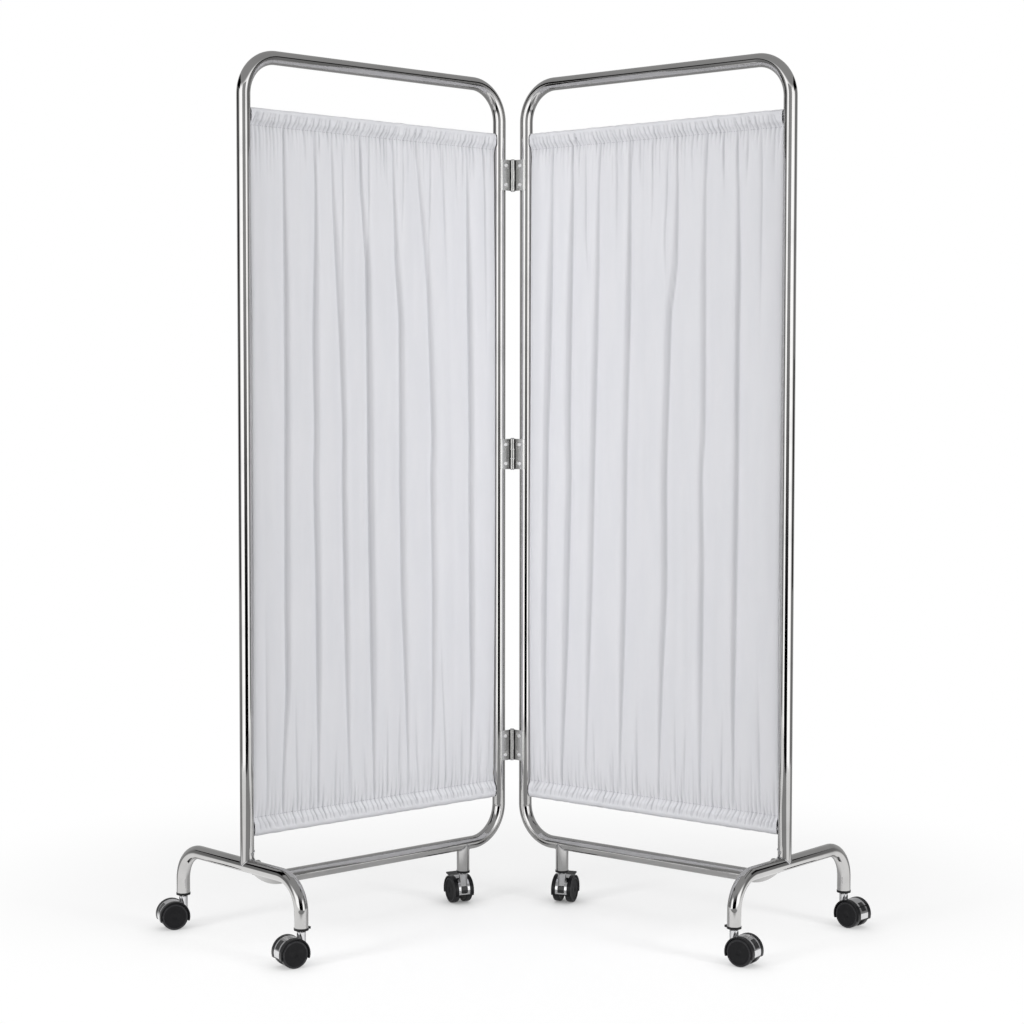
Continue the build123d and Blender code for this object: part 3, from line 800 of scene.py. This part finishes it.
def gather_relief(marks, across, distance, sleeve):
    """Creases at a distance from their seam, inside the sleeve or fading into the body."""
    relief = np.zeros_like(across)
    for line, slant, depth, width, reach in marks:
        if sleeve:
            line, fade = line + slant * distance, smoothed(distance, *gather_fade)
        else:
            fade, width = 1 - smoothed(distance, 0.0, reach), width * (1 + distance / gather_spread)
        relief = relief - depth * fade * np.exp(-((np.abs(across - line) / width) ** crease_power))
    return relief


def swollen(share, start, end, full_depth=sleeve_half_depth):
    """The half depth of the cloth on its way from a seam, where it is flat, to its full depth."""
    return seam_half_depth + (full_depth - seam_half_depth) * float(smoothed(share, start, end))


def cloth_profile():
    """The cloth's run from the back of the header over its rod, down and round the lower rod.

    Each point is its front distance, its height, the way it faces and the part that it is in.
    """
    back_rows, front_rows = sleeve_rows
    low = bottom_rod - hem_hang
    turns = np.linspace(0, math.pi, turn_rows)[1:-1]
    back_seam = header_seam - seam_tail
    points = [
        (-swollen(share, *back_swell), back_seam + share * (top_rod - back_seam), "header")
        for share in np.linspace(0, 1, back_rows)
    ]
    for turn in turns:
        rise = (curtain_top - top_rod) * math.sin(turn)
        points.append((-sleeve_half_depth * math.cos(turn), top_rod + rise, "header"))
    for share in np.linspace(1, 0, front_rows):
        height = header_seam + share * (top_rod - header_seam)
        points.append((swollen(share, *header_swell), height, "header"))
    for share in np.linspace(0, 1, body_rows + 2)[1:-1]:
        eased = 0.5 - 0.5 * math.cos(math.pi * share)
        share = even_row_share * share + (1 - even_row_share) * eased
        height = header_seam + share * (hem_seam - header_seam)
        near = min(header_seam - height, height - hem_seam)
        points.append((swollen(near, *body_swell, body_front), height, "body"))
    for share in np.linspace(0, 1, front_rows):
        points.append((swollen(share, *hem_swell), hem_seam + share * (low - hem_seam), "hem"))
    for turn in turns:
        drop = (low - curtain_bottom) * math.sin(turn)
        points.append((sleeve_half_depth * math.cos(turn), low - drop, "hem"))
    back_seam = hem_seam + seam_tail
    for share in np.linspace(1, 0, back_rows):
        points.append((-swollen(share, *back_swell), back_seam + share * (low - back_seam), "hem"))
    return points


def curtain_grid(side):
    """The cloth's points, row by row along its run and column by column across it."""
    seed, profile = cloth_seeds[side], cloth_profile()
    front, height = (np.array([point[i] for point in profile]) for i in range(2))
    rising, forward = np.gradient(height), np.gradient(front)
    length = np.hypot(rising, forward)
    face_front, face_up = -rising / length, forward / length
    header_marks = gather_marks(seed, header_gather_pitch)
    hem_marks = gather_marks(seed + 1, hem_gather_pitch)
    columns = np.linspace(curtain_start, curtain_end, cloth_columns + 1)
    across = np.tile(columns, (len(profile), 1))
    heights = np.repeat(height[:, None], columns.size, axis=1)
    relief = np.zeros_like(across)
    for row, (_, z, part) in enumerate(profile):
        line, level = across[row], heights[row]
        if part == "body":
            relief[row] = body_relief(side, line, level)
            relief[row] += gather_relief(header_marks, line, header_seam - level, False)
            relief[row] += gather_relief(hem_marks, line, level - hem_seam, False)
        else:
            top, bottom = (header_marks, header_seam, top_rod), (hem_marks, hem_seam, bottom_rod)
            marks, seam, rod = top if part == "header" else bottom
            creases = gather_relief(marks, line, np.abs(level - seam), True)
            deepest = depth_over_rod if abs(z - rod) < rod_band else depth_elsewhere
            relief[row] = np.maximum(creases, -deepest)
    wander = random.Random(seed + 2)
    for _ in range(ripple_count):
        wave, tilt = wander.uniform(*ripple_waves), wander.uniform(*ripple_tilts)
        phase, rise = wander.uniform(0, math.tau), wander.uniform(*ripple_rises)
        ripple = np.sin(wave * across + tilt * heights + phase) * np.cos(rise * heights + 2 * phase)
        relief += ripple_height * ripple
    edge = np.minimum(across - curtain_start, curtain_end - across)
    sleeves = np.array([part != "body" for _, _, part in profile])[:, None]
    # How far each point lies below the cloth round it, which sets the painted shade in the creases.
    kernel = np.hanning(2 * hollow_reach + 1)
    padded = np.pad(relief, ((0, 0), (hollow_reach, hollow_reach)), mode="edge")
    evened = np.array([np.convolve(row, kernel / kernel.sum(), "valid") for row in padded])
    hollow = np.clip((evened - relief) / hollow_depth, 0, 1) * np.where(sleeves, sleeve_hollow_gain, 1.0)
    backs = np.array([facing < 0 and part != "body" for facing, _, part in profile])[:, None]
    relief = np.where(backs, -relief, relief)
    turned_back = relief - side_turn * np.exp(-edge / side_turn_fade)
    relief = np.where(sleeves, relief * smoothed(edge, *sleeve_side_edge), turned_back)
    front_distance = front[:, None] + relief * face_front[:, None]
    level = heights + relief * face_up[:, None]
    swing = sway * np.sin(heights / sway_length + sway_phases[side]) * np.exp(-edge / sway_fade)
    travelled = np.concatenate(([0.0], np.cumsum(np.hypot(np.diff(height), np.diff(front)))))
    return across + swing, front_distance, level, columns - curtain_start, travelled, hollow


# In metres: the cloth when it is cut and laid flat, and the distance between two threads of its weave
cut_size = (0.75, 1.45)
thread_pitch = 0.8 * mm


def cloth_material():
    """Plain woven polyester and cotton: matt, slightly cool, a little uneven in tone, with painted shade in
    its creases.
    """
    finish, shader, wire = new_finish("curtain_cloth")
    shader.inputs["Sheen Weight"].default_value = 0.12
    shader.inputs["Sheen Roughness"].default_value = 0.5
    shader.inputs["Specular IOR Level"].default_value = 0.25
    spread = wire.node("ShaderNodeTexCoord", out=2)
    warp, weft = (
        place.maths("SINE", place * (math.tau / thread_pitch)) for place in spread.parts()[:2]
    )
    weave = warp * weft
    stretched, slubs, creases = (
        wire.node("ShaderNodeMapping", (), {0: spread, 3: (*scale, 1.0)})
        for scale in ((9.0, 2.2), (900.0, 60.0), (60.0, 7.0))
    )
    cloudy, slub, crease = (
        noise(wire, stretched, 3.0, 4), noise(wire, slubs, 1.0, 2), noise(wire, creases, 1.0, 3)
    )
    tone = 0.6 * cloudy.smooth(0.3, 0.7) + 0.25 * slub.smooth(0.3, 0.7) + 0.15 * (0.5 + 0.5 * weave)
    shade = tone.blend(colour(0.708, 0.712, 0.742), colour(0.742, 0.742, 0.768))
    # Painted shade: the cloth is darkened where it lies deeper than its neighbours, the more so in the
    # sleeves.
    hollows = wire.node("ShaderNodeAttribute", {"attribute_name": "hollow"}, out=2)
    shade = (painted_hollow_shade * hollows).blend(shade, colour(0.05, 0.05, 0.07))
    woven = wire.node("ShaderNodeBump", (), {0: 0.25, 1: 0.12 * mm, 3: weave + 0.8 * slub})
    crinkled = wire.node("ShaderNodeBump", (), {0: 0.35, 1: 1.2 * mm, 3: crease, 4: woven})
    feed(shader, {"Base Color": shade, "Roughness": 0.82 + 0.1 * slub, "Normal": crinkled})
    return finish


cloth = cloth_material()

stitch_sides, stitch_rings = 7, 6
stitch_row, given = new_tree("stitch_row", "Stitch pitch", "Stitch length", "Thread radius")
places, bead, shape, sewn, aim = add_nodes(
    stitch_row,
    "GeometryNodeCurveToPoints",
    "GeometryNodeMeshUVSphere",
    "ShaderNodeCombineXYZ",
    "GeometryNodeInstanceOnPoints",
    "FunctionNodeAlignRotationToVector",
)
places.mode, aim.axis = "LENGTH", "X"
for socket, value in zip(bead.inputs, (stitch_sides, stitch_rings, 1)):
    socket.default_value = value
link(
    stitch_row,
    (given["Geometry"], places.inputs[0]),
    (given["Stitch pitch"], places.inputs[2]),
    (given["Stitch length"], shape.inputs[0]),
    (given["Thread radius"], shape.inputs[1]),
    (given["Thread radius"], shape.inputs[2]),
    (places.outputs["Points"], sewn.inputs[0]),
    (bead.outputs[0], sewn.inputs[2]),
    (places.outputs["Tangent"], aim.inputs[2]),
    (aim.outputs[0], sewn.inputs[5]),
    (shape.outputs[0], sewn.inputs[6]),
)
complete(stitch_row, given, sewn)


def thread_material():
    finish, shader, wire = new_finish("sewing_thread")
    twist = noise(wire, wire.node("ShaderNodeTexCoord", out=3), 900.0, 2)
    # The thread is dark grey, much darker than the cloth; part of that darkness is painted shade of the
    # puckered seam along the stitches.
    shade = twist.smooth(0.3, 0.7).blend(colour(0.3, 0.3, 0.34), colour(0.42, 0.42, 0.46))
    feed(shader, {"Base Color": shade, "Roughness": 0.5 + 0.2 * twist})
    return finish


thread = thread_material()
stitch_pitch, stitch_half_length, thread_radius = 5.2 * mm, 1.7 * mm, 0.4 * mm
thread_lift = 0.12 * mm
stitch_lift = cloth_thickness / 2 * mm + thread_lift

for panel in panels:
    across, front, level, spread_across, spread_along, hollow = curtain_grid(panel.side)
    front_way = np.array(panel.front)
    base = np.array(panel.place(0, 0, 0))
    points = across[..., None] * np.array(panel.outward) + front[..., None] * front_way
    points = base + mm * (points + level[..., None] * np.array((0.0, 0.0, 1.0)))
    rows, columns = across.shape
    index = np.arange(rows * columns).reshape(rows, columns)
    quads = np.stack((index[:-1, :-1], index[:-1, 1:], index[1:, 1:], index[1:, :-1]), axis=-1)
    if panel.side == "left":
        quads = quads[..., ::-1]
    mesh = bpy.data.meshes.new(f"{panel.side}_curtain_cloth")
    mesh.from_pydata(points.reshape(-1, 3).tolist(), [], quads.reshape(-1, 4).tolist())
    unwrapped = mesh.uv_layers.new(name="cloth")
    corner_points = np.empty(len(mesh.loops), dtype=np.int32)
    mesh.loops.foreach_get("vertex_index", corner_points)
    flat_across = np.tile(spread_across, (rows, 1)) * cut_size[0] / (curtain_end - curtain_start)
    flat_along = mm * np.repeat(spread_along[:, None], columns, axis=1)
    flat = np.stack((flat_across, flat_along), axis=-1).reshape(-1, 2)
    unwrapped.data.foreach_set("uv", flat[corner_points].ravel().astype(np.float32))
    depths = mesh.attributes.new("hollow", "FLOAT", "POINT")
    depths.data.foreach_set("value", hollow.ravel().astype(np.float32))
    mesh.shade_smooth()
    mesh.materials.append(cloth)
    curtain = new_piece(f"{panel.side}_curtain_cloth", mesh)
    wall = curtain.modifiers.new("cloth thickness", "SOLIDIFY")
    wall.thickness, wall.offset = cloth_thickness * mm, 0
    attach(curtain, panel.body)
    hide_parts(f"{panel.side}_curtain")
    parts = [part for _, _, part in cloth_profile()]
    header_front = parts.index("body") - 1
    hem_front = len(parts) - parts[::-1].index("body")
    for name, row, facing in (
        ("header_front_stitches", header_front, 1),
        ("header_back_stitches", back_stitch_row, -1),
        ("hem_front_stitches", hem_front, 1),
        ("hem_back_stitches", rows - 1 - back_stitch_row, -1),
    ):
        line = points[row] + facing * stitch_lift * front_way
        stitches = grown(
            f"{panel.side}_{name}",
            line_object(line.tolist()),
            stitch_row,
            {
                "Stitch pitch": stitch_pitch,
                "Stitch length": stitch_half_length,
                "Thread radius": thread_radius,
                "Finish": thread,
            },
        )
        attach(stitches, panel.body)

# The hinges: pressed and plated steel leaves, wrapped round the fronts of the inner uprights. Each pair
# turns on a pin with rounded heads, and each leaf is held by two small screws. A dark band of painted
# shade lies on the leaves round the knuckles.
hinge_chrome = chrome("hinge_chrome", (0.52, 0.52, 0.51), 0.16, 0.03, 40 * mm)
pin_steel = chrome("pin_steel", (0.66, 0.66, 0.67), 0.12, 0.1, 10 * mm)
# The screws are plated steel, made nearly white and half matt so that their flat heads show as bright dots: a
# painted highlight for the glint of domed heads.
screw_steel = chrome("screw_steel", (0.95, 0.95, 0.95), 0.35, 0.1, 5 * mm)
for finish, share in ((hinge_chrome, 0.78), (screw_steel, 0.5)):
    finish.node_tree.nodes["Principled BSDF"].inputs["Metallic"].default_value = share
# Painted shade: the leaves are darkened to near black in a band beside the knuckle, between these distances
# from the pin's axis.
knuckle_shade_start, knuckle_shade_end = (5.45 * mm, 6.05 * mm), (9.7 * mm, 8.9 * mm)
shader = hinge_chrome.node_tree.nodes["Principled BSDF"]
unshaded_tone = Wire(hinge_chrome.node_tree, shader.inputs["Base Color"].links[0].from_socket)
spot = unshaded_tone.node("ShaderNodeTexCoord", out=3)
flat = unshaded_tone.node("ShaderNodeVectorMath", {"operation": "MULTIPLY"}, {0: spot, 1: (1, 1, 0)})
from_pin = unshaded_tone.node("ShaderNodeVectorMath", {"operation": "LENGTH"}, {0: flat}, out=1)
knuckle_shade = from_pin.smooth(*knuckle_shade_start) * from_pin.smooth(*knuckle_shade_end)
feed(shader, {"Base Color": knuckle_shade.blend(unshaded_tone, colour(0.02, 0.02, 0.02))})
for height_name in ("lower", "middle", "upper"):
    dress(hinge_chrome, f"{height_name}_hinge_left_leaf", f"{height_name}_hinge_right_leaf")
dress(pin_steel, "hinge_pins")
dress(screw_steel, "left_hinge_screws", "right_hinge_screws")


# The castor sockets and stems: a black plastic plug with a collar, pressed into each tube end, and the
# plated steel pin that it grips, on which the castor swivels.
def plastic(name, tint, roughness, wear, grain_size, shine=0.25):
    """Moulded plastic with a fine grain, faint scuffs and slightly paler worn spots."""
    finish, shader, wire = new_finish(name)
    shader.inputs["Specular IOR Level"].default_value = shine
    place = wire.node("ShaderNodeTexCoord", out=3)
    cloudy, fine = noise(wire, place, 1 / grain_size, 5), noise(wire, place, 30 / grain_size, 2)
    worn = cloudy.smooth(0.52, 0.72)
    shade = worn.blend(colour(*tint), colour(*(part + wear for part in tint)))
    rough = roughness + 0.12 * worn + 0.08 * fine
    grain = wire.node("ShaderNodeBump", (), {0: 0.2, 1: 0.1 * mm, 3: fine})
    feed(shader, {"Base Color": shade, "Roughness": rough, "Normal": grain})
    return finish


black_plastic = plastic("black_plastic", (0.005, 0.005, 0.006), 0.26, 0.005, 12 * mm)
castor_steel = chrome("castor_steel", (0.7, 0.7, 0.71), 0.14, 0.1, 8 * mm)
for panel in panels:
    dress(black_plastic, f"{panel.side}_castor_sockets")
    dress(castor_steel, f"{panel.side}_castor_stems")

# The castors: a black plastic body with a fender over each wheel, and a plated steel band over the
# middle that carries the neck. The two beside the hinges have a brake pedal.
castor_chrome = chrome("castor_chrome", (0.6, 0.6, 0.61), 0.1, 0.05, 12 * mm)
castor_names = [f"{side}_{place}" for side in ("left", "right") for place in ("front", "back", "inner")]
for name in castor_names:
    dress(black_plastic, f"{name}_castor_body")
    dress(castor_chrome, f"{name}_castor_cover")
    dress(castor_steel, f"{name}_castor_axle")
for side in ("left", "right"):
    dress(black_plastic, f"{side}_inner_castor_brake_lever")

# The wheels: moulded black plastic, with a raised rim round a slightly sunk disc on the outside and a
# bore for the axle on the inside. Each point of the profile is a radius and a distance from the
# castor's middle, in millimetres, from the bore's end round to the middle of the disc.
wheel_radius, wheel_steps, first_disc_row = 25.0, 96, 16
wheel_sharp_angle = math.radians(50)
wheel_profile = (
    (0.0, 16.8),
    (3.05, 16.8),
    (3.05, 6.8),
    (7.5, 6.8),
    (8.2, 7.6),
    (19.6, 7.8),
    (20.6, 6.8),
    (23.2, 6.8),
    (24.2, 7.1),
    (24.8, 7.9),
    (25.0, 9.2),
    (25.0, 17.0),
    (24.8, 18.2),
    (24.2, 19.1),
    (23.3, 19.6),
    (21.4, 19.6),
    (20.8, 19.35),
    (20.4, 18.75),
    (19.9, 18.6),
    (12.0, 18.95),
    (5.6, 19.1),
    (5.1, 19.0),
    (4.7, 18.7),
    (0.0, 18.75),
)
# Painted highlight: all of the wheel but its sunk outer disc is a paler plastic, so that the raised rim shows
# light along its edge.
rim_plastic = plastic("wheel_rim", (0.02, 0.02, 0.022), 0.42, 0.02, 9 * mm)
disc_plastic = plastic("wheel_disc", (0.008, 0.008, 0.009), 0.45, 0.006, 16 * mm, 0.16)
castor_trail = 20.0 * mm
castor_headings = {
    "left_front": 209.0,
    "left_back": 200.0,
    "left_inner": 115.0,
    "right_front": -36.0,
    "right_back": -45.0,
    "right_inner": 68.0,
}
castor_places = {
    "front": (panel_width, foot_front_reach),
    "back": (panel_width, -foot_back_reach),
    "inner": (post_offset, 0.0),
}


def castor_axes(name):
    """A castor's wheel centre on its axle, the way that it trails and its axle's direction."""
    side, place = name.split("_")
    panel = next(panel for panel in panels if panel.side == side)
    turn = math.radians(castor_headings[name])
    trail = Vector((math.cos(turn), math.sin(turn), 0))
    axle = Vector((0, 0, 1)).cross(trail)
    stem = panel.place(*castor_places[place], 0)
    return stem + castor_trail * trail + Vector((0, 0, wheel_radius * mm)), trail, axle


for name in castor_names:
    centre, trail, axle = castor_axes(name)
    for wheel_side in ("left", "right"):
        node = f"{name}_castor_{wheel_side}_wheel"
        low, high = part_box(node)
        away = 1 if ((low + high) / 2 - centre).dot(axle) > 0 else -1
        turned = bmesh.new()
        rings = []
        for radius, reach in wheel_profile:
            ring = []
            for step in range(wheel_steps if radius > 0 else 1):
                turn = math.tau * step / wheel_steps
                spoke = math.cos(turn) * trail + math.sin(turn) * Vector((0, 0, 1))
                ring.append(turned.verts.new(centre + mm * (radius * spoke + away * reach * axle)))
            rings.append(ring)
        for row, (inner, outer) in enumerate(zip(rings[:-1], rings[1:])):
            for step in range(wheel_steps):
                after = (step + 1) % wheel_steps
                # A ring of radius 0 is one point, and a face beside it is a triangle.
                corners = [inner[step % len(inner)], inner[after % len(inner)]]
                corners += [outer[after % len(outer)], outer[step % len(outer)]]
                face = turned.faces.new(list(dict.fromkeys(corners)))
                face.smooth = True
                face.material_index = 1 if row >= first_disc_row else 0
        bmesh.ops.recalc_face_normals(turned, faces=turned.faces)
        mesh = bpy.data.meshes.new(f"{node}_turned")
        turned.to_mesh(mesh)
        turned.free()
        mesh.materials.append(rim_plastic)
        mesh.materials.append(disc_plastic)
        mesh.set_sharp_from_angle(angle=wheel_sharp_angle)
        wheel = new_piece(f"{node}_turned", mesh)
        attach(wheel, node)
        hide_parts(node)

# The castor windows: small curved plates of smoky black plastic, snapped into the recesses of the
# plated band, one in front and, where there is no brake, one behind. Their sizes are in millimetres,
# and each reaches between two heights measured from the axle.
window_radius, window_thickness = 27.8, 0.3
window_half_width, window_corner = 6.7, 2.2
lead_window, trail_window = (-3.7, 10.7), (8.3, 22.7)
window_rows, window_columns = 18, 16
window_plastic = plastic("castor_window", (0.012, 0.012, 0.013), 0.06, 0.004, 20 * mm, 0.4)


def window_plate(name, centre, facing, axle, levels):
    """A rounded plate bent round the axle, between two heights measured from the axle."""
    low, high = levels
    points = []
    for level in np.linspace(low, high, window_rows + 1):
        into_corner = max(window_corner - min(level - low, high - level), 0)
        cut = window_corner - math.sqrt(window_corner**2 - into_corner**2)
        turn = math.asin(level / window_radius)
        spoke = math.cos(turn) * facing + math.sin(turn) * Vector((0, 0, 1))
        for share in np.linspace(-1, 1, window_columns + 1):
            sideways = float(share) * (window_half_width - cut)
            points.append(centre + mm * (window_radius * spoke + sideways * axle))
    wide = window_columns + 1
    quads = [
        (row * wide + i, row * wide + i + 1, (row + 1) * wide + i + 1, (row + 1) * wide + i)
        for row in range(window_rows)
        for i in range(window_columns)
    ]
    mesh = bpy.data.meshes.new(name)
    mesh.from_pydata(points, [], quads)
    if mesh.polygons[0].normal.dot(facing) < 0:
        mesh.flip_normals()
    mesh.shade_smooth()
    mesh.materials.append(window_plastic)
    plate = new_piece(name, mesh)
    wall = plate.modifiers.new("plate thickness", "SOLIDIFY")
    wall.thickness, wall.offset = window_thickness * mm, -1
    return plate


for name in castor_names:
    centre, trail, axle = castor_axes(name)
    plates = [window_plate(f"{name}_castor_front_window", centre, -trail, axle, lead_window)]
    if not name.endswith("inner"):
        plates.append(window_plate(f"{name}_castor_back_window", centre, trail, axle, trail_window))
    for plate in plates:
        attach(plate, f"{name}_castor")
